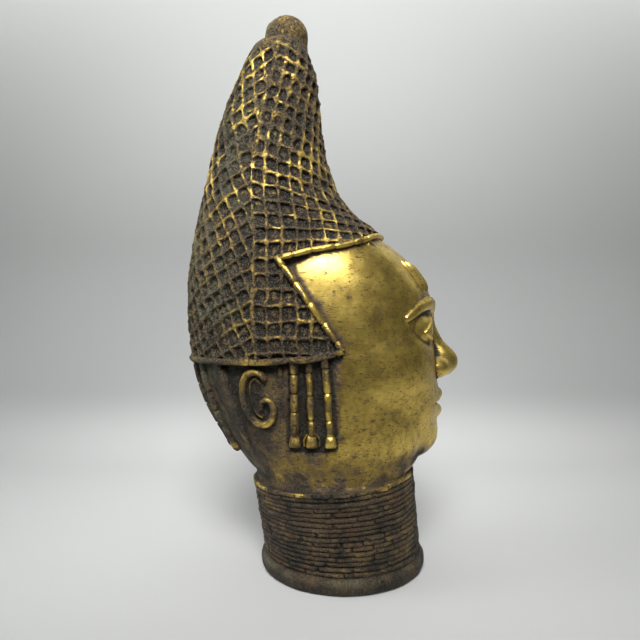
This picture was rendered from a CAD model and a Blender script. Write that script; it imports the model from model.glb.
import functools
import math

import bmesh
import bpy
import numpy as np
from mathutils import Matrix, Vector


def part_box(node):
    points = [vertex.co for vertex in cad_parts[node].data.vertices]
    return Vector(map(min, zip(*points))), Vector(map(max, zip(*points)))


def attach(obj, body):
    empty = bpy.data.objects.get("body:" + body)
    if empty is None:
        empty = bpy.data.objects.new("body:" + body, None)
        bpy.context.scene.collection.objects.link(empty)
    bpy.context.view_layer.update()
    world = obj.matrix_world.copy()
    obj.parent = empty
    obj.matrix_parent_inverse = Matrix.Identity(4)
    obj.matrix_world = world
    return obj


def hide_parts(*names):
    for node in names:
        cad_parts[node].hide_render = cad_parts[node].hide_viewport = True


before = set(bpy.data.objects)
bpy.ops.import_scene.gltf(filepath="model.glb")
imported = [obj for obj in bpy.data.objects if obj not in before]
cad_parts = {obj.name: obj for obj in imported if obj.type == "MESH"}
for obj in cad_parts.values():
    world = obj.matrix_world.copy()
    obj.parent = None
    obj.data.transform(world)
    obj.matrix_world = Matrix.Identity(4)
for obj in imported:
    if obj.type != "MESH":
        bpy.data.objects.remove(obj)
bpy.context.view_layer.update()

# Sizes in millimetres, with the height of the head from the frame
LOW, HIGH = (np.array(corner) * 1000 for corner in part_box("bronze_head"))
HEIGHT = HIGH[2] - LOW[2]
COLLAR_TOP = 0.1675 * HEIGHT
FOOT_HEIGHT = 11.75
FOOT_RADIUS = 60.0
COLLAR_STRANDS = 17
COLLAR_FOOT_RADIUS = 56.8
COLLAR_TOP_RADIUS = 58.8
COLLAR_LEAN = 6.8
COLLAR_TILT = 0.068
STRAND_PITCH = (COLLAR_TOP - FOOT_HEIGHT) / COLLAR_STRANDS
GROOVE_DEPTH = 1.9
SHORTEST_BEAD = 13
BEAD_SPREAD = 22

# Over the collar, places are in parts, counted from the middle of its top
PARTS_TO_TIP = 333
PART = (HEIGHT - COLLAR_TOP) / PARTS_TO_TIP
NECK_RADIUS = COLLAR_TOP_RADIUS - 2.2
NECK_CENTRE = COLLAR_LEAN
NECK_ROOT = NECK_CENTRE - 1.5
KNOB_RADIUS = 14.6
KNOB_CENTRE = 41.2
CAP_THICKNESS = 2.8
NET_DEPTH = 2.7
PATH_STEP = 0.45
HAIR_BEAD = 14.6

# The most triangles of each piece when it is joined, and of the whole
LIMITS = {"head": 56000, "cap": 175000, "strands": 40000, "collar": 46000, "whole": 196000}

# The naked head: height over the collar, centre, front, back, half width, outline power
HEAD_STATIONS = (
    (-14, NECK_ROOT, NECK_ROOT - NECK_RADIUS, NECK_ROOT + NECK_RADIUS, NECK_RADIUS, 2.0),
    (3, NECK_CENTRE, NECK_CENTRE - NECK_RADIUS, NECK_CENTRE + NECK_RADIUS, NECK_RADIUS, 2.0),
    (9, 9, -54, 68.8, 56.4, 2.0),
    (17, 10, -58, 75, 57.5, 2.05),
    (30, 11, -61.5, 84, 59.5, 2.15),
    (57, 12, -64, 98.5, 63.5, 2.2),
    (75, 12, -66, 104.5, 66, 2.2),
    (92, 12, -67, 107.5, 66.5, 2.2),
    (112, 12, -66.5, 109, 66.5, 2.2),
    (130, 13, -63, 109, 65.5, 2.15),
    (150, 16, -50.5, 107, 62, 2.1),
    (170, 24, -25.5, 102, 54, 2.0),
    (184, 34, 4, 94, 44, 2.0),
)
# The cap, in the same columns
CAP_STATIONS = (
    (30, 26, -30, 100, 66, 2.0),
    (84, 30, -30, 109.5, 69.5, 2.0),
    (99, 32, -30, 111.6, 71, 2.0),
    (117, 34, -30, 113.4, 71, 2.0),
    (135, 36, -30, 113.2, 69, 2.0),
    (152, 38, -30, 111.5, 66, 2.0),
    (171, 42, -28.5, 109, 60.5, 1.95),
    (188, 48, -9, 106, 54.5, 1.9),
    (206, 52, 4, 101.6, 49, 1.9),
    (232, 53.5, 11.7, 95.5, 41.5, 1.9),
    (250, 53, 15, 91, 37, 1.9),
    (267, 51, 16.5, 85, 32.5, 1.9),
    (285, 48, 18, 77.8, 28, 1.95),
    (303, 46.5, 23.2, 70.3, 22.5, 2.0),
    (311, 45.5, 25.5, 66, 19, 2.0),
    (317, 41.5, 29.5, 53.5, 12, 2.0),
)
# Edges of the cap in side view, as (y, z)
BRIM_LINE = ((-25.8, 170.8), (-13.5, 164.5), (1, 159.5), (22, 156), (43, 150.5))
CHEEK_LINE = ((43, 150.5), (2.5, 92.6))
RIM_LINE = ((2.5, 92.6), (9, 90.2), (20, 87.4), (40, 86.3), (59, 85), (113, 84))
EYE_MIDDLE = (28, 104.5)
EYE_HALF_WIDTH = 15.5
LID_RISE = 9
LID_DROP = 6.8
LID_RADIUS = 1.5
# Rows of the net, as (height, pitch), and the pitch of its columns, behind the seam and before it
BACK_PITCHES = ((84, 10.4), (165, 11), (235, 13.6), (290, 13), (312, 9))
BACK_COLUMN = 8.9
FRONT_PITCHES = ((84, 10.1), (172, 10.2), (200, 10.4), (290, 10.4), (312, 8))
FRONT_COLUMN = 9.4

VALUE_COUNT = 4096
VALUES = np.random.default_rng(23).random(VALUE_COUNT)


def value_at(key):
    """A fixed random value from 0 to 1 for each whole number."""
    return VALUES[key & (VALUE_COUNT - 1)]


def noise(p, size, seed=0):
    """Smooth random values from -1 to 1 at points, in patches of about this size."""
    q = np.asarray(p, float) / size + 31.7 * seed + 512
    cell = np.floor(q).astype(np.int64)
    t = q - cell
    t = t * t * (3 - 2 * t)
    total = 0
    for corner in np.ndindex(2, 2, 2):
        c = cell + corner
        key = (c[..., 0] * 73856093) ^ (c[..., 1] * 19349663) ^ (c[..., 2] * 83492791)
        weight = np.prod(np.where(corner, t, 1 - t), axis=-1)
        total = total + weight * value_at(key)
    return 2 * total - 1


def ease(x, low, high):
    """A soft step: 0 where x is low and 1 where it is high."""
    t = np.clip((x - low) / (high - low), 0, 1)
    return t * t * (3 - 2 * t)


def smooth_table(x, table, column):
    """A column of a station table at x, by a cubic that never overshoots its stations."""
    xs, ys = (np.array([row[k] for row in table], float) for k in (0, column))
    step = np.diff(xs)
    slope = np.diff(ys) / step
    tangent = np.zeros(len(xs))
    first, second = 2 * step[1:] + step[:-1], step[1:] + 2 * step[:-1]
    same = slope[:-1] * slope[1:] > 0
    tangent[1:-1][same] = (first + second)[same] / (
        first[same] / slope[:-1][same] + second[same] / slope[1:][same]
    )
    tangent[0], tangent[-1] = slope[0], slope[-1]
    x = np.clip(x, xs[0], xs[-1])
    i = np.clip(np.searchsorted(xs, x, side="right") - 1, 0, len(step) - 1)
    t = (x - xs[i]) / step[i]
    return (
        (1 + 2 * t) * (1 - t) ** 2 * ys[i]
        + t * (1 - t) ** 2 * step[i] * tangent[i]
        + t * t * (3 - 2 * t) * ys[i + 1]
        + t * t * (t - 1) * step[i] * tangent[i + 1]
    )


def full_columns(phi, z):
    return (np.array(a, float) for a in np.broadcast_arrays(phi, z))


def round_axis(centre, radius, phi, z):
    """Points at a radius from the centre, with phi counted from the face."""
    return np.stack([radius * np.sin(phi), centre - radius * np.cos(phi), z], -1)


def outline(phi, z, table):
    """Centre and radius of a station outline, with phi counted from the face."""
    centre, front, back, width, power = (smooth_table(z, table, k) for k in range(1, 6))
    depth = np.where(np.cos(phi) > 0, centre - front, back - centre)
    radius = (np.abs(np.sin(phi)) / width) ** power + (np.abs(np.cos(phi)) / depth) ** power
    return centre, radius ** (-1 / power)


def cap_outline(phi, z):
    """Centre and radius of the cap, nowhere closer to the naked head than its own thickness."""
    phi, z = full_columns(phi, z)
    centre, radius = outline(phi, z, CAP_STATIONS)
    below, _ = outline(0 * phi, z, HEAD_STATIONS)
    skull = radius
    for _ in range(12):
        x, y = skull * np.sin(phi), centre - skull * np.cos(phi)
        _, reach = outline(np.arctan2(x, below - y), z, HEAD_STATIONS)
        skull = skull * reach / np.hypot(x, below - y)
    cover = CAP_THICKNESS - 12 * np.clip((z - 171) / 13, 0, 1)
    return centre, np.where(z < 184, soft_max(radius, skull + cover, 2), radius)


def soft_max(a, b, blend):
    near = np.maximum(blend - np.abs(a - b), 0) / blend
    return np.maximum(a, b) + near * near * blend / 4


def soft_min(a, b, blend):
    return -soft_max(-a, -b, blend)


def ellipsoid(p, centre, radii):
    """About the distance from p to an ellipsoid."""
    q = (p - np.array(centre, float)) / radii
    near = np.linalg.norm(q, axis=-1)
    steep = np.linalg.norm(q / np.array(radii, float), axis=-1)
    return near * (near - 1) / np.maximum(steep, 1e-6)


def rod(p, points, radii):
    """Distance from p to a chain of tapered rods."""
    found = []
    for a, b, ra, rb in zip(points[:-1], points[1:], radii[:-1], radii[1:]):
        a, along = np.array(a, float), np.subtract(b, a).astype(float)
        t = np.clip(((p - a) @ along) / (along @ along), 0, 1)
        found.append(np.linalg.norm(p - a - t[..., None] * along, axis=-1) - (ra + (rb - ra) * t))
    return np.min(found, axis=0)


def broad_forms(p):
    """Mouth mound, chin and cheeks. Every form here is given for one side, x from 0."""
    mound = ellipsoid(p, (0, -43.5, 54), (37, 26, 27))
    chin = ellipsoid(p, (0, -46.5, 28), (23, 23.5, 17))
    cheek = ellipsoid(p, (29, -25, 80), (30, 32, 29))
    return soft_min(soft_min(mound, chin, 12), cheek, 16)


def brow_form(p):
    path = ((4, -60.5, 115), (12, -61.3, 119.5), (22, -59.5, 122.6))
    path = (*path, (32, -55.6, 123), (41, -48.8, 120), (50, -38.5, 112.5))
    return rod(p, path, (4, 4.4, 4.6, 4.4, 3.8, 2.2))


def nose_form(p):
    bridge = rod(p, ((0, -57, 118), (0, -62, 104), (0, -67, 93), (0, -72.5, 82)), (7, 7.2, 8, 9.4))
    tip = ellipsoid(p, (0, -73.5, 80), (11.8, 11.5, 10))
    wing = ellipsoid(p, (13.4, -66, 77), (8.8, 11, 7.8))
    return soft_min(soft_min(bridge, tip, 7), wing, 6)


def eye_form(p):
    return ellipsoid(p, (28, -45.2, 104.5), (18.5, 16.4, 14.5))


def lip_forms(p):
    upper = ((0, -68, 55.6), (3, -68.4, 56.8), (6.5, -67.9, 57.4), (11, -66.2, 56.8))
    upper = (*upper, (18, -61.8, 54.6), (27, -53.5, 51))
    lower = ((0, -66.8, 45.4), (6, -66.4, 45.6), (12, -64.6, 46.6), (18, -60.8, 48.2))
    lower = (*lower, (25, -55.2, 50.4))
    upper = rod(p, upper, (4.9, 5, 5, 4.8, 4, 1.9))
    lower = rod(p, lower, (6.2, 6.1, 5.4, 4.2, 2.2))
    return soft_min(upper, lower, 0.6)


def grown(phi, z, centre, radius, form, blend, reach, within):
    """The radius where rays from outside meet the form, blended into the radius below it."""
    widest, lowest, highest = within
    x = radius * np.sin(phi)
    near = np.flatnonzero((np.cos(phi) > 0) & (np.abs(x) < widest) & (z > lowest) & (z < highest))
    a, h, c, below = phi[near], z[near], centre[near], radius[near]
    hit = below + reach
    floor = below - blend - 1
    left = np.arange(len(near))
    for _ in range(60):
        r = hit[left]
        p = np.stack([np.abs(r * np.sin(a[left])), c[left] - r * np.cos(a[left]), h[left]], -1)
        gap = form(p)
        hit[left] = r - 0.9 * gap
        left = left[(gap > 0.004) & (hit[left] > floor[left])]
        if not len(left):
            break
    result = radius.copy()
    result[near] = soft_max(below, np.maximum(hit, floor), blend)
    return result


def dent(x, z, at, size, depth):
    return depth * np.exp(-(((np.abs(x) - at[0]) / size[0]) ** 2) - ((z - at[1]) / size[1]) ** 2)


def bare_face(phi, z):
    """Centre and radius of the naked head, all but the rims of the eyes."""
    phi, z = full_columns(phi, z)
    centre, radius = outline(phi, z, HEAD_STATIONS)
    facing = np.cos(phi) > 0
    radius = grown(phi, z, centre, radius, broad_forms, 14, 24, (70, 0, 128))
    radius = grown(phi, z, centre, radius, brow_form, 8, 12, (66, 96, 140))
    radius = radius - facing * dent(radius * np.sin(phi), z, (26, 105.5), (17, 10.5), 7)
    radius = grown(phi, z, centre, radius, nose_form, 6, 30, (34, 58, 134))
    radius = grown(phi, z, centre, radius, eye_form, 1.5, 12, (52, 86, 124))
    radius = grown(phi, z, centre, radius, lip_forms, 2, 16, (38, 34, 68))
    x = radius * np.sin(phi)
    mouth_line = 50.4 + 0.0035 * np.minimum(np.abs(x), 24) ** 2
    mouth = 2.4 * np.clip((27 - np.abs(x)) / 7, 0, 1) * np.exp(-(((z - mouth_line) / 1.2) ** 2))
    return centre, radius - facing * (mouth + dent(x, z, (0, 65), (3.4, 4.5), 1.5))


def head_outline(phi, z):
    """Centre and radius of the naked head, face and all."""
    phi, z = full_columns(phi, z)
    centre, radius = bare_face(phi, z)
    radius = grown(phi, z, centre, radius, lid_forms, 0.8, 4, (52, 92, 118))
    x = radius * np.sin(phi)
    from_middle = np.hypot(np.abs(x) - EYE_MIDDLE[0], z - EYE_MIDDLE[1] - 0.6)
    iris = 0.45 * np.exp(-(((from_middle - 5.6) / 0.55) ** 2))
    iris = iris + 0.7 * np.exp(-((from_middle / 1.5) ** 2))
    return centre, radius - (np.cos(phi) > 0) * iris


@functools.cache
def lid_paths():
    """The middle lines of an upper and a lower lid, on the surface of the eyeball."""
    paths = []
    for rise in (LID_RISE, -LID_DROP):
        t = np.linspace(-1, 1, 13)
        x = EYE_MIDDLE[0] + EYE_HALF_WIDTH * t
        z = EYE_MIDDLE[1] + rise * (1 - t * t) - 1.2 * t
        paths.append([seen_from_front(bare_face, a, b, 0.2) for a, b in zip(x, z)])
    return paths


def lid_forms(p):
    """The raised almond rim of an eye."""
    upper, lower = (rod(p, path, (LID_RADIUS,) * len(path)) for path in lid_paths())
    return soft_min(upper, lower, 0.5)


def surface_point(surface, phi, z, lift=0.0):
    """The point of a surface in a column, pushed out by the lift."""
    centre, radius = surface(np.array([phi], float), np.array([z], float))
    out = radius[0] + lift
    return (out * math.sin(phi), centre[0] - out * math.cos(phi), z)


def seen_from_side(surface, y, z, side=1, lift=0.0):
    """The point of a surface with this y and height, on one side of the head."""
    phi = np.linspace(0, math.pi, 721)
    centre, radius = surface(phi, np.full(phi.shape, float(z)))
    at = float(np.interp(y, centre - radius * np.cos(phi), phi))
    return surface_point(surface, side * at, z, lift)


def seen_from_front(surface, x, z, lift=0.0):
    """The point of a surface with this x and height, on the face."""
    phi = np.radians(np.linspace(-80, 80, 641))
    _, radius = surface(phi, np.full(phi.shape, float(z)))
    return surface_point(surface, float(np.interp(x, radius * np.sin(phi), phi)), z, lift)


def column_on_line(surface, phi, line, lift=0.0):
    """The point where a column of a surface crosses a line drawn in side view."""
    z = np.linspace(80, 180, 401)
    centre, radius = surface(np.full(z.shape, phi), z)
    over = z - np.interp(centre - radius * math.cos(phi), *zip(*line))
    return surface_point(surface, phi, float(np.interp(0, over, z)), lift)


def side_phi(surface, y, z):
    x, back, _ = seen_from_side(surface, y, z)
    centre, _ = surface(np.array([0.0]), np.array([float(z)]))
    return math.atan2(x, centre[0] - back)


def solid(name, points):
    """A closed mesh through rings of points, in parts, the first ring at one end."""
    rows, columns = points.shape[:2]
    index = np.arange(rows * columns).reshape(rows, columns)
    across = np.roll(index, -1, axis=1)
    quads = np.stack([index[:-1], across[:-1], across[1:], index[1:]], -1).reshape(-1, 4)
    first, second = points[:2]
    outwards = np.cross(first[1] - first[0], second[0] - first[0]) @ (first[0] - first.mean(0))
    if outwards < 0:
        quads = quads[:, ::-1]
        loops = np.concatenate([quads.ravel(), index[0], index[-1, ::-1]])
    else:
        loops = np.concatenate([quads.ravel(), index[0, ::-1], index[-1]])
    starts = np.append(np.arange(len(quads)) * 4, (4 * len(quads), 4 * len(quads) + columns))
    metres = (points.reshape(-1, 3) * PART + (0, 0, COLLAR_TOP)) / 1000
    return as_object(name, metres, loops, starts)


def as_object(name, points, loops, starts):
    mesh = bpy.data.meshes.new(name)
    mesh.vertices.add(len(points))
    mesh.vertices.foreach_set("co", np.ascontiguousarray(points, np.float32).ravel())
    mesh.loops.add(len(loops))
    mesh.loops.foreach_set("vertex_index", np.ascontiguousarray(loops, np.int32))
    mesh.polygons.add(len(starts))
    mesh.polygons.foreach_set("loop_start", np.ascontiguousarray(starts, np.int32))
    mesh.update(calc_edges=True)
    return placed(name, mesh)


def placed(name, data):
    """A new object in the scene."""
    made = bpy.data.objects.new(name, data)
    bpy.context.scene.collection.objects.link(made)
    return made


def smooth_path(points, spacing=PATH_STEP):
    """A soft curve through points, as evenly spaced points."""
    p = np.array(points, float)
    p = np.concatenate([[2 * p[0] - p[1]], p, [2 * p[-1] - p[-2]]])
    t = np.linspace(0, 1, 24, endpoint=False)[:, None]
    curve = [
        0.5 * (2 * b + (c - a) * t + (2 * a - 5 * b + 4 * c - d) * t**2 + (3 * b - a - 3 * c + d) * t**3)
        for a, b, c, d in zip(p, p[1:], p[2:], p[3:])
    ]
    return evenly(np.concatenate(curve + [p[-2:-1]]), spacing)


def evenly(path, spacing):
    run = np.concatenate([[0], np.cumsum(np.linalg.norm(np.diff(path, axis=0), axis=1))])
    at = np.linspace(0, run[-1], max(8, round(run[-1] / spacing)))
    return np.stack([np.interp(at, run, path[:, k]) for k in range(3)], 1)


def strand(name, path, width, height, boxy=2.0, sides=18, middle=20.0):
    """A strand along a path, of this half width and half height over the surface."""
    along = np.gradient(path, axis=0)
    along /= np.linalg.norm(along, axis=1)[:, None]
    out = path - (0, middle, 0)
    out[:, 2] = 0
    across = np.cross(along, out)
    across /= np.linalg.norm(across, axis=1)[:, None]
    out = np.cross(across, along)
    turns = 2 * np.pi * (np.arange(sides) + 0.5) / sides
    reach = (np.abs(np.cos(turns)) ** boxy + np.abs(np.sin(turns)) ** boxy) ** (-1 / boxy)
    width, height = (np.broadcast_to(a, len(path))[:, None, None] for a in (width, height))
    rings = (
        path[:, None]
        + width * (reach * np.cos(turns))[None, :, None] * across[:, None]
        + height * (reach * np.sin(turns))[None, :, None] * out[:, None]
    )
    return solid(name, rings)


def along(path, at, values):
    """Values at the points of a path, from values at these shares of it."""
    return np.interp(np.linspace(0, 1, len(path)), at, values)


def beaded(name, path, radius, bead, seed, flat=1.0):
    """A strand of long beads: narrow nicks between them, and uneven as modelled by hand."""
    path = smooth_path(path)
    run = np.arange(len(path)) * PATH_STEP
    joints = []
    at = bead * (0.35 + 0.5 * value_at(seed))
    while at < run[-1]:
        joints.append(at)
        at += bead * (0.8 + 0.4 * value_at(seed + 7 * len(joints)))
    nick = sum(np.exp(-(((run - j) / 0.5) ** 2)) for j in joints)
    wave = noise(np.stack([run, 0 * run, 0 * run], -1), 5, seed)
    width = radius * (1 - 0.46 * nick + 0.09 * wave)
    path = path + 0.28 * np.stack([noise(path, 9, seed + k) for k in (1, 2, 3)], -1)
    return strand(name, path, width, flat * width)


def recess(p):
    """From 0 to 1, how far points lie in the hollow ground between the tresses of a side."""
    y, z = p[:, 1] + 0.9 * noise(p, 7, 71), p[:, 2] + 0.9 * noise(p, 7, 72)
    left = np.interp(z, (30, 86), (4.4, 9.2))
    between = ease(y, left, left + 2.2) * ease(38 - y, 0, 3)
    return between * ease(z, 24.5, 28.5) * (z < 90)


def head_piece():
    """The naked head, with rows closer together where the face has more form."""
    rows = ((-14, 39, 1.2), (40, 61.6, 0.45), (62, 71.5, 0.8))
    rows = (*rows, (72, 91.6, 0.5), (92, 117.7, 0.4), (118, 184, 1.0))
    columns = 600
    z = np.concatenate([np.arange(low, high, step) for low, high, step in rows])
    t = np.linspace(-1, 1, columns, endpoint=False)
    phi = math.pi * (0.4 * t + 0.6 * t**3)
    phi, z = (a.ravel() for a in np.meshgrid(phi, z))
    centre, radius = head_outline(phi, z)
    points = round_axis(centre, radius, phi, z)
    hammered = 0.16 * noise(points, 11, 3) + 0.1 * noise(points, 5, 4)
    from_nose = np.abs(points[:, 0]) + 0.4 * np.abs(points[:, 1] + 70)
    radius = radius + hammered * ease(from_nose, 20, 60)
    radius = radius - 1.1 * recess(points)
    points = round_axis(centre, radius, phi, z)
    return solid("head", points.reshape(-1, columns, 3))


def rows_up(z, pitches):
    """Rows of the net below this height, where the pitch changes with height."""
    at = np.linspace(40, 330, 581)
    pitch = np.interp(at, *zip(*pitches))
    return np.interp(z, at, np.concatenate([[0], np.cumsum(np.diff(at) / pitch[1:])]))


def cord(distance):
    """Height of a rounded cord, from 1 on its crest to 0 at its foot, where the distance is 1."""
    return np.clip(1 - np.clip(distance, 0, 1) ** 2.5, 0, 1) ** 0.6


def of_cell(row, column, seed):
    """A random value from 0 to 1 for each cell of a net."""
    row, column = (np.floor(count).astype(np.int64) for count in (row, column))
    key = row * 7919 + column * 104729 + seed * 611953
    return value_at(key ^ (key >> 9))


def pressed(row, column, pitches, half_width, corner, points, seed):
    """Height of a net whose cells are pressed in as pits with round corners."""
    u, v = (np.abs(2 * (count - np.floor(count)) - 1) for count in (row, column))
    u = u * (0.995 + 0.09 * noise(points, 9, seed + 1))
    v = v * (0.955 + 0.13 * noise(points, 8, seed + 2))
    pitch = (pitches[0] * u**4 + pitches[1] * v**4) / (u**4 + v**4 + 1e-9)
    edge = 1 - 2 * half_width * (0.8 + 0.4 * of_cell(row, column, seed)) / pitch
    away = (1 - (u**corner + v**corner) ** (1 / corner)) / (1 - edge)
    floor = 0.22 * of_cell(row, column, seed + 3) + 0.07 * (1 - u) * (1 - v)
    return floor + (1 - floor) * cord(away) + 0.3 * np.clip(-away, 0, 0.6)


def net_relief(phi, z, points):
    """Height of the net's cords over the floor of the cap, from 0 to about 1."""
    half = len(phi) // 2
    steps = np.linalg.norm(np.diff(points, axis=1), axis=2)
    run = np.concatenate([np.zeros((len(z), 1)), np.cumsum(steps, axis=1)], axis=1)
    run = np.abs(run - run[:, half][:, None])
    seam = np.radians(np.interp(z, (84, 150, 230, 300), (112, 109, 99, 90)))
    seam_run = np.array([np.interp(a, phi[half:], row[half:]) for a, row in zip(seam, run)])
    s = run - seam_run[:, None]
    z = np.broadcast_to(z[:, None], s.shape)
    wobble = [
        noise(points, 17, 5 + k) + 0.6 * noise(points, 7.5, 9 + k) + 0.3 * noise(points, 3.6, 27 + k)
        for k in range(2)
    ]
    uneven = 1 + 0.25 * noise(points, 7, 14)
    high = ease(z, 180, 235)

    slope = np.interp(z, (90, 170, 260), (0.50, 0.56, 0.66))
    lean = np.cos(np.arctan(slope))
    pitches = (np.interp(z, *zip(*BACK_PITCHES)) * lean, BACK_COLUMN)
    row = rows_up(z + slope * s, BACK_PITCHES) + 0.13 * wobble[0]
    column = (s - 0.42 * (z - 170)) * lean / BACK_COLUMN + 0.14 * wobble[1]
    half_width = (1.22 + 0.3 * high) * uneven
    back = pressed(row, column, pitches, half_width, 4.6 - 1.2 * high, points, 40)

    slope = np.interp(z, (165, 190, 250), (0, 0.22, 0.34))
    pitches = (9.8, FRONT_COLUMN - high)
    row = rows_up(z - slope * s, FRONT_PITCHES) + (0.12 + 0.05 * high) * wobble[0]
    column = s / pitches[1] + (0.13 + 0.05 * high) * wobble[1]
    half_width = (1.25 + 0.6 * high) * uneven
    front = pressed(row, column, pitches, half_width, 4.4 - 1.9 * high, points, 60)

    relief = np.where(s > 0, back, front)
    from_seam = np.abs(s + 1.1 * noise(points, 9, 16)) / (1.9 * uneven)
    at_seam = cord(from_seam) * (0.9 + 0.25 * noise(points, 5, 15))
    relief = np.maximum(relief, at_seam * ease(noise(points, 8, 17), -0.45, 0.0))
    relief = relief * (0.92 + 0.22 * noise(points, 10, 18))
    rough = 0.2 * noise(points, 1.9, 19) + 0.22 * noise(points, 3.3, 20) + 0.1 * noise(points, 6, 13)
    return relief + rough * (1.2 - 0.55 * np.clip(relief, 0, 1))


def cap_piece():
    """The whole cap before its openings, with the net in its outer surface."""
    z = np.arange(80, 317.01, 0.52)
    phi = np.linspace(-math.pi, math.pi, 840, endpoint=False)
    coarse_phi, coarse_z = np.linspace(-math.pi, math.pi, 241), np.arange(80, 318.1, 1.5)
    centre, radius = cap_outline(*np.meshgrid(coarse_phi, coarse_z))
    radius = np.stack([np.interp(phi, coarse_phi, row) for row in radius])
    radius = np.stack([np.interp(z, coarse_z, column) for column in radius.T], 1)
    centre = np.interp(z, coarse_z, centre[:, 0])[:, None]

    height = np.broadcast_to(z[:, None], radius.shape)
    points = round_axis(centre, radius, phi, height)
    relief = net_relief(phi, z, points)
    bare = ease(z[:, None] + 6 * noise(points, 14, 23), 297, 311)
    worn = 0.72 + 0.3 * noise(points, 6, 21) + 0.1 * noise(points, 2.4, 24)
    relief = relief * (1 - bare) + bare * worn
    radius = radius + NET_DEPTH * (relief - 1) + 0.5 * noise(points, 30, 22)
    return solid("cap", round_axis(centre, radius, phi, height))


def uncovered():
    """All that the cap leaves bare, in front of its brim and under its rim, as a prism along X."""
    far = 140
    edge = (*BRIM_LINE, *CHEEK_LINE[1:], *RIM_LINE[1:])
    corners = [(-far, 210), *edge, (far, 84), (far, -60), (-far, -60)]
    rings = [[(x, y, z) for y, z in corners] for x in (-far, far)]
    return solid("uncovered", np.array(rings, float))


def cap_edges():
    """The beaded edges of the cap: brim, the slant down each temple, and rim round the back."""
    corner = side_phi(cap_outline, *BRIM_LINE[-1])
    brim = [column_on_line(cap_outline, a, BRIM_LINE) for a in np.linspace(-corner, corner, 49)]
    made = [beaded("brim", brim, 1.9, 13.5, 40)]
    cheek = side_phi(cap_outline, *RIM_LINE[0])
    turns = np.linspace(cheek, 2 * math.pi - cheek, 61)
    rim = [column_on_line(cap_outline, a, RIM_LINE) for a in turns]
    made.append(beaded("rim", rim, 2.1, 26, 60))
    for side in (-1, 1):
        (y0, z0), (y1, z1) = CHEEK_LINE
        t = np.linspace(-0.02, 1.0, 15)
        slant = zip(y0 + (y1 - y0) * t, z0 + (z1 - z0) * t)
        slant = [seen_from_side(cap_outline, y, z, side) for y, z in slant]
        made.append(beaded(f"slant_{side}", slant, 2.2, 14.2, 80 + side))
    return made


# Hair and ears in side view, as (y, z)
TRESS_LINES = (((32.7, 88), (32.2, 38)), ((23.4, 89), (21.6, 38)), ((14, 90), (9.8, 38)))
TRESS_WIDTHS = (2.7, 2.2, 2.4)
TRESS_ARCH = (
    *((26.2, 31), (26.4, 35), (24.6, 38.4), (21.6, 39.8)),
    *((18.6, 38.4), (16.8, 35), (17, 31)),
)
LOCK_LINES = (
    ((86, 84), (82, 70), (75.7, 55), (63, 27)),
    ((78.6, 80), (76.6, 66), (73.3, 54), (66, 37)),
)
LOCK_WIDTHS = (7.2, 2.0)
LOCK_HEIGHTS = (2.5, 2.3)
EAR = (
    *((50.4, 73.6), (53.4, 77.2), (57.9, 78.6), (62.4, 76.6), (65, 71), (65.4, 63.5)),
    *((64.2, 57), (60.6, 49.6), (55.6, 45), (50.6, 44.4), (46.7, 48), (45.4, 53.6)),
    *((46.6, 58.6), (50, 60.8), (53, 58.6), (53.4, 54)),
)
EAR_RADIUS = 2.45
INNER_EAR = ((54.4, 71), (57.2, 74), (60.4, 71), (60.8, 64), (59.6, 57), (56.6, 51), (53, 48.6))
# Short hair before the ear, as y and the heights of its ends
TEMPLE_HAIR = ((37.6, 84, 62), (41.4, 84, 66))
NAPE_STRANDS = 5
NAPE_STEP = 11


def bare_head(phi, z):
    return outline(phi, z, HEAD_STATIONS)


def side_path(points, side, lift):
    return [seen_from_side(bare_head, y, z, side, lift) for y, z in points]


def tresses(side):
    """The beaded tresses before the ear, each with a block at its end, and an arch between them."""
    made = []
    for i, (top, foot) in enumerate(TRESS_LINES):
        t = np.linspace(0, 1, 10)[:, None]
        path = side_path(np.array(top) * (1 - t) + np.array(foot) * t, side, 1.0)
        name = f"tress_{i}_{side}"
        made.append(beaded(name, path, TRESS_WIDTHS[i], HAIR_BEAD, 90 + 11 * i + side, 1.1))
        line = np.array([foot, (foot[0], foot[1] - 3), (foot[0], foot[1] - 7.4)])
        block = smooth_path(side_path(line, side, 0.8))
        width = along(block, (0, 0.25, 0.85, 1), (2.5, 3.2, 3.9, 3.5))
        height = along(block, (0, 0.8, 1), (2.9, 2.9, 2.3))
        made.append(strand(f"block_{i}_{side}", block, width, height, 3.4))
    arch = smooth_path(side_path(TRESS_ARCH, side, 0.5))
    made.append(strand(f"arch_{side}", arch, 0.75, 1.3))
    return made


def locks(side):
    """The smooth locks behind the ear."""
    made = []
    for i, line in enumerate(LOCK_LINES):
        path = smooth_path(side_path(line, side, -0.2))
        width = LOCK_WIDTHS[i] * along(path, (0, 0.3, 0.7, 1), (0.95, 1, 0.66, 0.24))
        height = LOCK_HEIGHTS[i] * along(path, (0, 0.85, 1), (1, 0.9, 0.4))
        made.append(strand(f"lock_{i}_{side}", path, width, height, 2.3))
    return made


def ear(side):
    outer = smooth_path(side_path(EAR, side, 1.3))
    thick = EAR_RADIUS * along(outer, (0, 0.06, 0.75, 0.93, 1), (0.72, 0.95, 0.95, 0.7, 0.45))
    made = [strand(f"ear_{side}", outer, thick * (1 + 0.06 * noise(outer, 6, 70)), 1.1 * thick)]
    inner = smooth_path(side_path(INNER_EAR, side, 0.5))
    return made + [strand(f"inner_ear_{side}", inner, 0.7, 1.1)]


def temple_hair(side):
    made = []
    for i, (y, top, low) in enumerate(TEMPLE_HAIR):
        path = smooth_path(side_path([(y, top), (y + 0.6, (top + low) / 2), (y, low)], side, -0.5))
        t = np.linspace(0, 1, len(path))
        made.append(strand(f"temple_hair_{i}_{side}", path, 1.9, 1.35 * np.clip(1.2 - t, 0.25, 1)))
    return made


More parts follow.
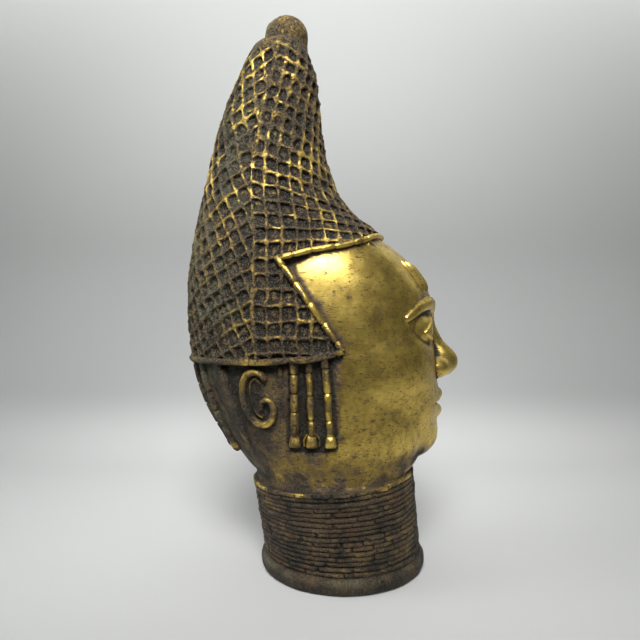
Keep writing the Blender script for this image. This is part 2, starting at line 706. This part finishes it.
def nape():
    """Beaded strands down the back of the head, each with a round bead at its end."""
    made = []
    for i in range(NAPE_STRANDS):
        phi = math.pi + math.radians(NAPE_STEP) * (i - NAPE_STRANDS // 2)
        path = [surface_point(bare_head, phi, h, 1.5) for h in np.linspace(88, 27, 12)]
        made.append(beaded(f"nape_{i}", path, 2.2, HAIR_BEAD, 150 + 9 * i))
        bead = smooth_path([surface_point(bare_head, phi, h, 1.3) for h in (27.5, 24, 20.5)])
        width = 3.2 * np.sqrt(np.clip(1 - np.linspace(-0.85, 0.85, len(bead)) ** 2, 0, 1))
        made.append(strand(f"bead_{i}", bead, width, width))
    return made


def hair_and_ears():
    made = []
    for side in (-1, 1):
        made += [*tresses(side), *locks(side), *ear(side), *temple_hair(side)]
    return made + nape()


def forehead_marks():
    """Raised upright bars over each eye."""
    made = []
    for side in (-1, 1):
        for i in range(4):
            x = side * (19.5 + 5.2 * i)
            heights = (151.5, 147, 141.5, 136, 132)
            path = smooth_path([seen_from_front(bare_head, x, z, 0.15) for z in heights])
            width = 1.75 * np.clip(1 - np.abs(np.linspace(-1, 1, len(path))) ** 5, 0.15, 1)
            made.append(strand(f"mark_{i}_{side}", path, width, width))
    return made


def knob():
    """The knob on the tip: its lower half goes down nearly straight, and its top is round."""
    turns = np.linspace(0, 2 * np.pi, 96, endpoint=False)
    rise = np.linspace(-math.pi / 2 + 0.02, math.pi / 2 - 0.02, 60)[:, None]
    out = np.where(rise < 0, np.cos(rise) ** 0.3, np.cos(rise) ** 0.9)
    way = np.stack([np.sin(turns) * out, -np.cos(turns) * out, np.sin(rise) + 0 * turns], -1)
    rough = 0.035 * noise(15 * way, 13, 25) + 0.03 * noise(15 * way, 4, 26)
    rough = rough + 0.015 * noise(15 * way, 1.9, 27)
    radius = KNOB_RADIUS * (1 + np.minimum(rough, 0.02))[..., None] * np.array((1.07, 1.07, 0.985))
    return solid("knob", way * radius + (0, KNOB_CENTRE, PARTS_TO_TIP - KNOB_RADIUS))


def collar_piece():
    """Foot ring and collar: a roll, then strands of long beads that lean back and tilt."""
    foot_u = np.linspace(0, FOOT_HEIGHT, 40, endpoint=False)
    u = np.concatenate([foot_u, np.arange(FOOT_HEIGHT, COLLAR_TOP, 0.27)])
    turns = np.linspace(0, 2 * np.pi, 560, endpoint=False)
    u, turns = np.meshgrid(u, turns, indexing="ij")
    roll_u = FOOT_HEIGHT * np.array((0, 0.04, 0.13, 0.28, 0.45, 0.62, 0.78, 0.9, 1))
    roll = FOOT_RADIUS * np.array((0.955, 0.972, 0.987, 0.997, 1, 0.997, 0.985, 0.967, 0.945))
    place = np.stack([60 * np.sin(turns), -60 * np.cos(turns), u], -1)
    rise = np.clip((u - FOOT_HEIGHT) / (COLLAR_TOP - FOOT_HEIGHT), 0, 1)
    wander = u + 0.38 * noise(place * (1, 1, 0.6), 26, 30) * rise * (1 - rise) * 4
    wander = wander + 0.16 * noise(place, 9, 31)
    count = np.clip((wander - FOOT_HEIGHT) / STRAND_PITCH, 0, COLLAR_STRANDS - 0.001)
    row = np.floor(count).astype(int)
    bead = SHORTEST_BEAD + BEAD_SPREAD * value_at(row * 37)
    along = (turns * 58 + 90 * value_at(row * 91)) / bead
    along = along + 0.3 * noise(np.stack([along, row * 9.7, 0 * along], -1), 1.3, 32)
    which = np.floor(along).astype(int)
    own = value_at(row * 131 + which * 17)
    count = count + 0.16 * (own - 0.5)
    in_row = np.abs(count - row - 0.5) * 2
    groove = ease(in_row, 0.7, 0.98)
    from_end = np.minimum(along - which, which + 1 - along) * bead
    nick = 1 - ease(from_end, 0.4, 1.1)
    nick = nick * (value_at(row * 57 + which * 29) > 0.25)
    strands = COLLAR_FOOT_RADIUS + (COLLAR_TOP_RADIUS - COLLAR_FOOT_RADIUS) * rise
    worn = ease(noise(place, 20, 33), -0.15, 0.6)
    cut = GROOVE_DEPTH * np.maximum(groove, nick)
    strands = strands - cut * (1 - 0.45 * worn) - 0.3 * in_row**2
    strands = strands + 0.9 * (own - 0.5) + 0.3 * noise(place * (1, 1, 2), 6, 37)
    strands = strands + 0.35 * (row == COLLAR_STRANDS - 1)
    foot = np.interp(u, roll_u, roll) + 0.4 * noise(place, 14, 34) + 0.3 * noise(place, 4.5, 35)
    lump = 1.9 * np.exp(-(((turns + 1.66 - 2 * math.pi) * 58) ** 2 + (u - 9.5) ** 2 * 1.6) / 14)
    radius = np.where(u < FOOT_HEIGHT, foot, strands) + lump
    radius = np.where(u < 0.02, np.minimum(radius, FOOT_RADIUS * 0.96), radius)
    radius = radius + 0.07 * noise(place, 1.6, 36) * (u > 1)
    y = COLLAR_LEAN * rise - radius * np.cos(turns)
    height = u - COLLAR_TILT * rise * (y - COLLAR_LEAN * rise)
    points = np.stack([radius * np.sin(turns), y, height - COLLAR_TOP], -1)
    inner = points[-1].copy()
    inner[:, :2] = (inner[:, :2] - (0, COLLAR_LEAN)) * 0.9 + (0, COLLAR_LEAN)
    inner[:, 2] += 0.3
    return solid("collar", np.concatenate([points, inner[None]]) / PART)


def nostrils():
    made = []
    for side in (-1, 1):
        path = ((side * 7.6, -72.5, 66), (side * 7.2, -72, 70), (side * 6.8, -71.6, 74))
        path = smooth_path(path, 0.3)
        width = along(path, (0, 0.7, 1), (3.4, 2.9, 0.6))
        made.append(strand(f"nostril_{side}", path, width, 1.25 * width, middle=0))
    return made


def applied(target):
    """The target with its modifiers made part of its mesh."""
    bpy.context.view_layer.update()
    seen = target.evaluated_get(bpy.context.evaluated_depsgraph_get())
    mesh = bpy.data.meshes.new_from_object(seen)
    target.modifiers.clear()
    target.data = mesh
    return target


def merged(target, others, operation="UNION"):
    """The target with other pieces joined to it or cut from it, as one new mesh."""
    for other in others:
        step = target.modifiers.new(other.name, "BOOLEAN")
        step.operation = operation
        step.solver = "MANIFOLD"
        step.object = other
    applied(target)
    for other in others:
        bpy.data.objects.remove(other)
    return target


def thinned(target, triangles):
    """The target with fewer triangles, dropped first where the surface hardly bends."""
    count = sum(len(polygon.vertices) - 2 for polygon in target.data.polygons)
    thin = target.modifiers.new("thin", "DECIMATE")
    thin.ratio = min(1, triangles / count)
    return applied(target)


def without_flaps(target):
    """The target without the few tiny faces that thinning leaves hanging by one edge."""
    work = bmesh.new()
    work.from_mesh(target.data)
    flaps = [f for f in work.faces if sum(len(edge.link_faces) == 1 for edge in f.edges) > 1]
    bmesh.ops.delete(work, geom=flaps, context="FACES")
    work.to_mesh(target.data)
    work.free()
    return target


def neighbours_mean(values, ends, times):
    """Values at the points of a mesh, averaged with their neighbours this many times."""
    first, second = ends.T
    size = len(values)
    count = np.bincount(ends.ravel(), minlength=size)
    for _ in range(times):
        sums = [
            np.bincount(first, weights=column[second], minlength=size)
            + np.bincount(second, weights=column[first], minlength=size)
            for column in values.T
        ]
        values = 0.4 * values + 0.6 * np.stack(sums, 1) / np.maximum(count, 1)[:, None]
    return values


def surroundings(points, triangles, spread):
    """The middle of the surface round each point, weighted over about this distance."""
    a, b, c = (points[triangles[:, k]] for k in range(3))
    area = np.linalg.norm(np.cross(b - a, c - a), axis=1)
    places = np.concatenate([(4 * a + b + c) / 6, (a + 4 * b + c) / 6, (a + b + 4 * c) / 6])
    cell = spread / 2
    low = points.min(0) - 4 * spread
    shape = np.ceil((points.max(0) + 4 * spread - low) / cell).astype(int)
    flat = np.ravel_multi_index(np.floor((places - low) / cell).astype(int).T, shape)
    weights = np.tile(area, 3)
    kernel = np.exp(-np.arange(-5, 6) ** 2 / 8)
    sums = []
    for value in (1, *(places - low).T):
        grid = np.bincount(flat, weights * value, minlength=shape.prod())
        grid = grid.reshape(shape).astype(np.float32)
        for axis in range(3):
            grid = sum(w * np.roll(grid, k - 5, axis) for k, w in enumerate(kernel))
        sums.append(grid)
    at = (points - low) / cell - 0.5
    corner = np.floor(at).astype(int)
    t = at - corner
    found = np.zeros((4, len(points)))
    for step in np.ndindex(2, 2, 2):
        share = np.prod(np.where(step, t, 1 - t), axis=1)
        i, j, k = (corner + step).T
        found += share * np.array([grid[i, j, k] for grid in sums])
    return (found[1:] / np.maximum(found[0], 1e-9)).T + low


def side_distance(p, line):
    """Distance of points to a line, both as seen from the side."""
    y, z = p[:, 1], p[:, 2]
    found = np.full(len(p), np.inf)
    for (y0, z0), (y1, z1) in zip(line, line[1:]):
        length = max((y1 - y0) ** 2 + (z1 - z0) ** 2, 1e-9)
        t = np.clip(((y - y0) * (y1 - y0) + (z - z0) * (z1 - z0)) / length, 0, 1)
        found = np.minimum(found, np.hypot(y - y0 - t * (y1 - y0), z - z0 - t * (z1 - z0)))
    return found


MASKS = ("fine", "hollow", "polish", "rub", "collar", "net", "green")


def mesh_arrays(mesh):
    """Points in millimetres, normals, edges and triangles of a mesh."""
    mesh.calc_loop_triangles()
    found = []
    for items, name, width, kind in (
        (mesh.vertices, "co", 3, np.float32),
        (mesh.vertices, "normal", 3, np.float32),
        (mesh.edges, "vertices", 2, np.int32),
        (mesh.loop_triangles, "vertices", 3, np.int32),
    ):
        values = np.empty(len(items) * width, kind)
        items.foreach_get(name, values)
        found.append(values.reshape(-1, width))
    points, normals, ends, triangles = found
    return points.astype(float) * 1000, normals, ends, triangles


def crests_and_hollows(points, normals, ends, triangles):
    """How far points stand out from their neighbours, and lie under the surface round them."""
    fine = ((points - neighbours_mean(points, ends, 5)) * normals).sum(1)
    length = np.linalg.norm(points[ends[:, 0]] - points[ends[:, 1]], axis=1)
    spacing = np.bincount(ends.ravel(), np.repeat(length, 2)) / np.bincount(ends.ravel())
    spacing = neighbours_mean(spacing[:, None], ends, 3)[:, 0]
    fine = fine * np.minimum(1, (1.2 / spacing) ** 2)
    fine = neighbours_mean(fine[:, None], ends, 1)[:, 0]
    hollow = ((surroundings(points, triangles, 3.2) - points) * normals).sum(1)
    return fine, hollow


def regions(p, top):
    """From 0 to 1, how far points are on the face, on the hair, in the net and over the collar."""
    y, z = p[:, 1], p[:, 2]
    brim = ease(np.interp(y, *zip(*BRIM_LINE)) - z, -1, 1)
    slant = np.interp(z, (-10, 20, 30, 92.6, 150.5), (30, 16, 5, 2.5, 43))
    before = ease(slant - y, -1.5, 1.5)
    under = ease(np.interp(y, *zip(*RIM_LINE)) - z, -1, 1.5)
    above = ease(top, -0.5, 0.3)
    face = brim * before * above
    hair = under * (1 - before) * above
    net = (1 - brim * before) * (1 - under * (1 - before)) * above
    return face, hair, net, above


def add_masks(bronze):
    """Crests, hollows, wear and tints of the surface, as attributes that the material reads."""
    mesh = bronze.data
    points, normals, ends, triangles = mesh_arrays(mesh)
    fine, hollow = crests_and_hollows(points, normals, ends, triangles)
    p = (points - (0, 0, COLLAR_TOP)) / PART
    y, z = p[:, 1], p[:, 2]
    top = z + COLLAR_TILT * (y - COLLAR_LEAN)
    face, hair, net, above = regions(p, top)
    collar = 1 - above
    low = ease(z, 29, 15)
    high = ease(z, 150, 215)
    far = ease(y, 50, 95)
    hollow = hollow * (1 - 0.5 * low) * (1 - 0.3 * face)
    edges = side_distance(p, (*BRIM_LINE, *CHEEK_LINE))
    roll = ease(-z, 55.5, 57)
    ring = ease(top, -3.6, -3.0) * ease(-top, -1.2, -0.6)
    ring = ring * ease(noise(p, 15, 50), -0.3, 0.25)
    streaks = ease(noise(p * (1, 1, 0.22), 3.2, 52), 0.0, 0.45)
    blotches = ease(noise(p, 13, 51) + 0.6 * noise(p, 5, 53), 0.0, 0.5)

    # How bright the metal is where nothing is rubbed
    behind = (0.16 - 0.06 * low) * ease(y, 46, 66)
    polish = face * (0.84 - 0.26 * low) + hair * (0.24 + 0.26 * low - behind)
    polish = polish - face * 0.2 * np.exp(-((edges / 6) ** 2))
    polish = polish + net * (0.3 + 0.08 * ease(z, 300, 316)) + collar * 0.08
    polish = polish + hair * (1 - low) * 0.2 * streaks - (face + hair) * low * 0.34 * blotches
    polish = polish + 0.08 * ring + roll * (0.2 * ease(z, -62, -57.5) - 0.1)

    # How much brighter the crests are
    rub = face * 0.25 + hair * (0.42 - 0.36 * ease(y, 76, 88) + 0.2 * ease(y, 18, 8))
    rub = rub + net * (0.2 + 0.13 * high - 0.13 * far * (1 - high) - 0.3 * ease(z, 300, 314))
    rub = rub - hair * 0.2 * ease(y, 27, 31) * ease(40 - y, 0, 3)
    rub = rub + 0.34 * above * np.exp(-((edges / 2.4) ** 2))
    rub = rub + collar * 0.22 + 0.45 * ring
    rub = rub * (1 - 0.9 * roll)

    green = above * (1 - face) * ease(y + 0.12 * z, 62, 108)
    green = green + 0.9 * roll * ease(z, -63, -57)
    for name, values in zip(MASKS, (fine, hollow, polish, rub, collar, net, green)):
        layer = mesh.attributes.new(name, "FLOAT", "POINT")
        layer.data.foreach_set("value", values.astype(np.float32))


def build():
    """The whole casting as one mesh."""
    bronze = thinned(head_piece(), LIMITS["head"])
    cap = merged(thinned(cap_piece(), LIMITS["cap"]), [uncovered()], "DIFFERENCE")
    small = [*cap_edges(), *hair_and_ears(), *forehead_marks(), knob()]
    strands = thinned(merged(small[0], small[1:]), LIMITS["strands"])
    collar = thinned(collar_piece(), LIMITS["collar"])
    bronze = merged(bronze, [cap, strands, collar])
    bronze = merged(bronze, nostrils(), "DIFFERENCE")
    bronze = without_flaps(thinned(bronze, LIMITS["whole"]))
    bronze.name = "bronze_surface"
    bronze.data.name = "bronze_surface"
    bronze.data.shade_smooth()
    add_masks(bronze)
    return bronze


class Nodes:
    """Short ways to add and link a material's nodes."""

    def __init__(self, material):
        material.use_nodes = True
        self.tree = material.node_tree
        self.surface = self.tree.nodes["Principled BSDF"]

    def add(self, kind, inputs=None, **settings):
        node = self.tree.nodes.new("ShaderNode" + kind)
        for name, value in settings.items():
            setattr(node, name, value)
        for name, value in (inputs or {}).items():
            self.plug(value, node.inputs[name])
        return node

    def plug(self, value, socket):
        if isinstance(value, bpy.types.NodeSocket):
            self.tree.links.new(value, socket)
        else:
            socket.default_value = value

    def give(self, name, value):
        """Set or link an input of the surface."""
        self.plug(value, self.surface.inputs[name])

    def math(self, operation, a, b=0.0, clamp=False):
        node = self.add("Math", {0: a, 1: b}, operation=operation)
        node.use_clamp = clamp
        return node.outputs[0]

    def plus(self, a, b):
        return self.math("ADD", a, b)

    def minus(self, a, b, clamp=False):
        return self.math("SUBTRACT", a, b, clamp)

    def times(self, a, b):
        return self.math("MULTIPLY", a, b)

    def ramp(self, value, low, high, to=(0.0, 1.0)):
        inputs = {"Value": value, "From Min": low, "From Max": high, "To Min": to[0], "To Max": to[1]}
        node = self.add("MapRange", inputs)
        node.interpolation_type = "SMOOTHSTEP"
        return node.outputs[0]

    def mix(self, share, a, b):
        node = self.add("Mix", {0: share, 6: a, 7: b}, data_type="RGBA")
        return node.outputs[2]

    def noise(self, where, scale, detail=4.0, rough=0.55):
        inputs = {"Vector": where, "Scale": scale, "Detail": detail, "Roughness": rough}
        return self.add("TexNoise", inputs).outputs["Fac"]

    def attribute(self, name):
        return self.add("Attribute", attribute_name=name).outputs["Fac"]


def colour(r, g, b):
    return (r, g, b, 1.0)


# Colours of the metal, from dark patina to polished
METAL = (
    (0.0, colour(0.016, 0.014, 0.010)),
    (0.2, colour(0.060, 0.043, 0.026)),
    (0.4, colour(0.150, 0.103, 0.046)),
    (0.6, colour(0.30, 0.212, 0.062)),
    (0.8, colour(0.56, 0.40, 0.097)),
    (1.0, colour(0.74, 0.54, 0.135)),
)
REDDISH = colour(0.085, 0.048, 0.026)
GREENISH = colour(0.125, 0.125, 0.078)
DUST = colour(0.20, 0.175, 0.13)
SOOT = colour(0.009, 0.008, 0.006)
GRAIN_DEPTH = 0.0011


def scratches_and_pits(n, where):
    """Short scratches in four directions, and pits, from 0 to 1."""
    scratched = None
    for turn, size, seed in ((0.35, 300, 1), (1.3, 380, 2), (2.2, 330, 3), (2.9, 420, 4)):
        turned = {"Location": (seed,) * 3, "Rotation": (turn, 0.3, turn), "Scale": (1, 0.12, 1)}
        lines = n.noise(n.add("Mapping", {"Vector": where, **turned}).outputs[0], size, 1, 0.4)
        lines = n.ramp(n.math("ABSOLUTE", n.minus(lines, 0.5)), 0.0, 0.022, (1.0, 0.0))
        lines = n.times(lines, n.ramp(n.noise(where, 150 + 19 * seed, 2), 0.5, 0.62))
        scratched = lines if scratched is None else n.math("MAXIMUM", scratched, lines)
    dots = n.add("TexVoronoi", {"Vector": where, "Scale": 330})
    tone = n.add("SeparateColor", {0: dots.outputs["Color"]}).outputs
    pitted = n.minus(n.times(tone[0], 0.42), 0.22)
    pitted = n.ramp(n.minus(dots.outputs["Distance"], pitted), -0.02, 0.05, (1.0, 0.0))
    return n.math("MAXIMUM", scratched, pitted)


def bronze_material():
    """Worn bronze: the share of bare metal at a point gives its colour, gloss and roughness."""
    material = bpy.data.materials.new("bronze")
    n = Nodes(material)
    where = n.add("TexCoord").outputs["Object"]
    fine, hollow, polish, rub, collar, net, green = (n.attribute(name) for name in MASKS)
    cloud = n.noise(where, 40, 6, 0.62)
    spots = n.noise(where, 130, 5, 0.6)
    grain = n.noise(where, 400, 4, 0.6)
    speck = n.noise(where, 1300, 3, 0.6)

    # The share of bare metal, before scratches and pits: 0 is dark patina, 1 is polished
    crest = n.plus(n.ramp(fine, -0.02, 0.2, (0.0, 0.65)), n.ramp(hollow, -0.2, -1.0, (0.0, 0.35)))
    patches = n.plus(n.times(cloud, 0.65), n.times(spots, 0.35))
    patches = n.ramp(patches, 0.43, 0.59, (0.35, 1.45))
    cleared = n.plus(polish, n.times(n.times(crest, rub), patches))
    cleared = n.minus(cleared, n.ramp(fine, -0.03, -0.3, (0.0, 0.4)))
    sunk = n.ramp(hollow, 0.12, 0.95, (0.0, 0.85))
    sunk = n.times(sunk, n.minus(0.8, n.times(net, 0.65)))
    cleared = n.minus(cleared, sunk)
    cleared = n.plus(cleared, n.times(n.minus(cloud, 0.5), 0.75))
    cleared = n.plus(cleared, n.times(n.minus(spots, 0.5), 0.6))
    uneven = n.plus(n.times(net, 0.6), 0.45)
    cleared = n.plus(cleared, n.times(n.minus(grain, 0.5), uneven))
    marks = scratches_and_pits(n, where)
    shown = n.minus(cleared, n.times(marks, 0.5), clamp=True)

    ramp = n.add("ValToRGB", {0: shown})
    elements = ramp.color_ramp.elements
    for place, tint in METAL[1:-1]:
        elements.new(place).color = tint
    elements[0].color = METAL[0][1]
    elements[-1].color = METAL[-1][1]
    base = ramp.outputs[0]

    # Tints over dark places: reddish and greenish patina, pale dust and soot
    red = n.times(n.ramp(n.noise(where, 60, 5, 0.65), 0.48, 0.62), n.ramp(shown, 0.55, 0.2))
    red = n.times(red, n.plus(n.times(collar, 0.35), 0.35))
    base = n.mix(red, base, REDDISH)
    dusty = n.times(n.ramp(n.noise(where, 45, 6, 0.7), 0.42, 0.62), n.ramp(shown, 0.75, 0.3))
    base = n.mix(n.times(dusty, n.times(green, 0.7)), base, GREENISH)
    dust = n.times(n.ramp(speck, 0.52, 0.66), n.ramp(shown, 0.5, 0.2))
    gritty = n.plus(0.38, n.times(net, 0.42))
    base = n.mix(n.times(dust, gritty), base, DUST)
    soot = n.times(n.ramp(n.noise(where, 800, 3, 0.6), 0.5, 0.4), n.ramp(shown, 0.6, 0.25))
    base = n.mix(n.times(soot, gritty), base, SOOT)
    n.give("Base Color", base)
    n.give("Metallic", n.ramp(shown, 0.25, 0.6, (0.15, 1.0)))
    n.give("Specular IOR Level", 0.25)
    gloss = n.ramp(cleared, 0.1, 0.95, (0.62, 0.35))
    gloss = n.plus(gloss, n.times(net, 0.12))
    n.give("Roughness", n.plus(gloss, n.times(n.minus(spots, 0.5), 0.22)))

    # Cast grain, strong in dark places and faint on polished ones
    strength = n.ramp(cleared, 0.3, 0.75, (2.2, 0.5))
    strength = n.times(strength, n.ramp(polish, 0.35, 0.58, (1.0, 0.1)))
    grit = n.minus(n.plus(grain, n.times(speck, 0.4)), 0.7)
    rough = n.times(grit, strength)
    height = n.minus(rough, n.times(marks, 0.008))
    bump = n.add("Bump", {"Height": height, "Strength": 1.0, "Distance": GRAIN_DEPTH})
    n.give("Normal", bump.outputs[0])
    return material


# The paper, in metres: it turns up from the floor to the wall in a quarter circle
FLOOR_END = -4
BEND_START = 0.24
BEND_RADIUS = 0.3
WALL_TOP = 3.2
PAPER_HALF_WIDTH = 5
FLOOR = colour(0.5, 0.505, 0.5)
WALL_FOOT = colour(0.36, 0.366, 0.363)
WALL = colour(0.82, 0.84, 0.82)
SHADE = colour(0.11, 0.11, 0.11)
FAR = colour(0.85, 0.86, 0.85)


def stage():
    """A pale sweep of paper behind and under the head, in shade on the camera's side."""
    turns = np.linspace(0, math.pi / 2, 33)
    bend = [
        (BEND_START + BEND_RADIUS * math.sin(a), BEND_RADIUS - BEND_RADIUS * math.cos(a))
        for a in turns
    ]
    profile = [(FLOOR_END, 0.0), *bend, (BEND_START + BEND_RADIUS, WALL_TOP)]
    points = [(x, y, z) for x, z in profile for y in (-PAPER_HALF_WIDTH, PAPER_HALF_WIDTH)]
    faces = [(2 * i, 2 * i + 1, 2 * i + 3, 2 * i + 2) for i in range(len(profile) - 1)]
    mesh = bpy.data.meshes.new("sweep")
    mesh.from_pydata(points, [], faces)
    mesh.shade_smooth()
    sweep = placed("sweep", mesh)
    paper = bpy.data.materials.new("paper")
    n = Nodes(paper)
    where = n.add("TexCoord").outputs["Object"]
    place = n.add("SeparateXYZ", {0: where})
    away = n.add("VectorMath", {0: where}, operation="LENGTH").outputs["Value"]
    pale = n.mix(n.ramp(place.outputs[2], 0.006, 0.07), FLOOR, WALL_FOOT)
    pale = n.mix(n.ramp(place.outputs[2], 0.25, 0.7), pale, WALL)
    near = n.mix(n.ramp(place.outputs[0], -0.6, -0.05), SHADE, pale)
    n.give("Base Color", n.mix(n.ramp(away, 0.5, 1.15), near, FAR))
    n.give("Roughness", 0.9)
    n.give("Specular IOR Level", 0.1)
    mesh.materials.append(paper)


def lamp(name, place, target, size, power, spread):
    data = bpy.data.lights.new(name, "AREA")
    data.shape = "RECTANGLE"
    data.size, data.size_y = size
    data.energy = power
    data.spread = math.radians(spread)
    made = placed(name, data)
    made.location = place
    made.rotation_euler = (Vector(target) - Vector(place)).to_track_quat("-Z", "Y").to_euler()


# Name, place and target in metres, size, watts, and spread in degrees
LAMPS = (
    ("ceiling", (-0.05, 0.0, 1.3), (0.05, 0, 0), (0.9, 1.2), 1.5, 100),
    ("backdrop", (0.0, 0.0, 1.2), (0.54, 0, 0.95), (3.6, 0.2), 6.5, 80),
    ("window", (-0.85, 0.05, 1.1), (0, 0.03, 0.34), (0.5, 0.6), 2.7, 50),
    ("side", (-0.1, 1.2, 0.85), (0, 0.05, 0.25), (0.7, 0.7), 1.1, 65),
)
AIR_COLOUR = colour(0.96, 1.0, 0.99)
AIR_STRENGTH = 0.14
CAMERA_PLACE = (-0.41957, 0.01651, 0.18434)
CAMERA_DOWN = 0.89
LENS = 31.78


def light_and_camera():
    for settings in LAMPS:
        lamp(*settings)
    world = bpy.data.worlds.new("room")
    world.use_nodes = True
    air = world.node_tree.nodes["Background"].inputs
    air["Color"].default_value = AIR_COLOUR
    air["Strength"].default_value = AIR_STRENGTH
    bpy.context.scene.world = world
    bpy.context.scene.view_settings.view_transform = "Standard"
    data = bpy.data.cameras.new("camera")
    data.lens = LENS
    camera = placed("camera", data)
    camera.location = CAMERA_PLACE
    camera.rotation_euler = (math.radians(90 - CAMERA_DOWN), 0, math.radians(-90))
    bpy.context.scene.camera = camera


head = build()
head.data.materials.clear()
head.data.materials.append(bronze_material())
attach(head, "root")
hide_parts("bronze_head")
stage()
light_and_camera()
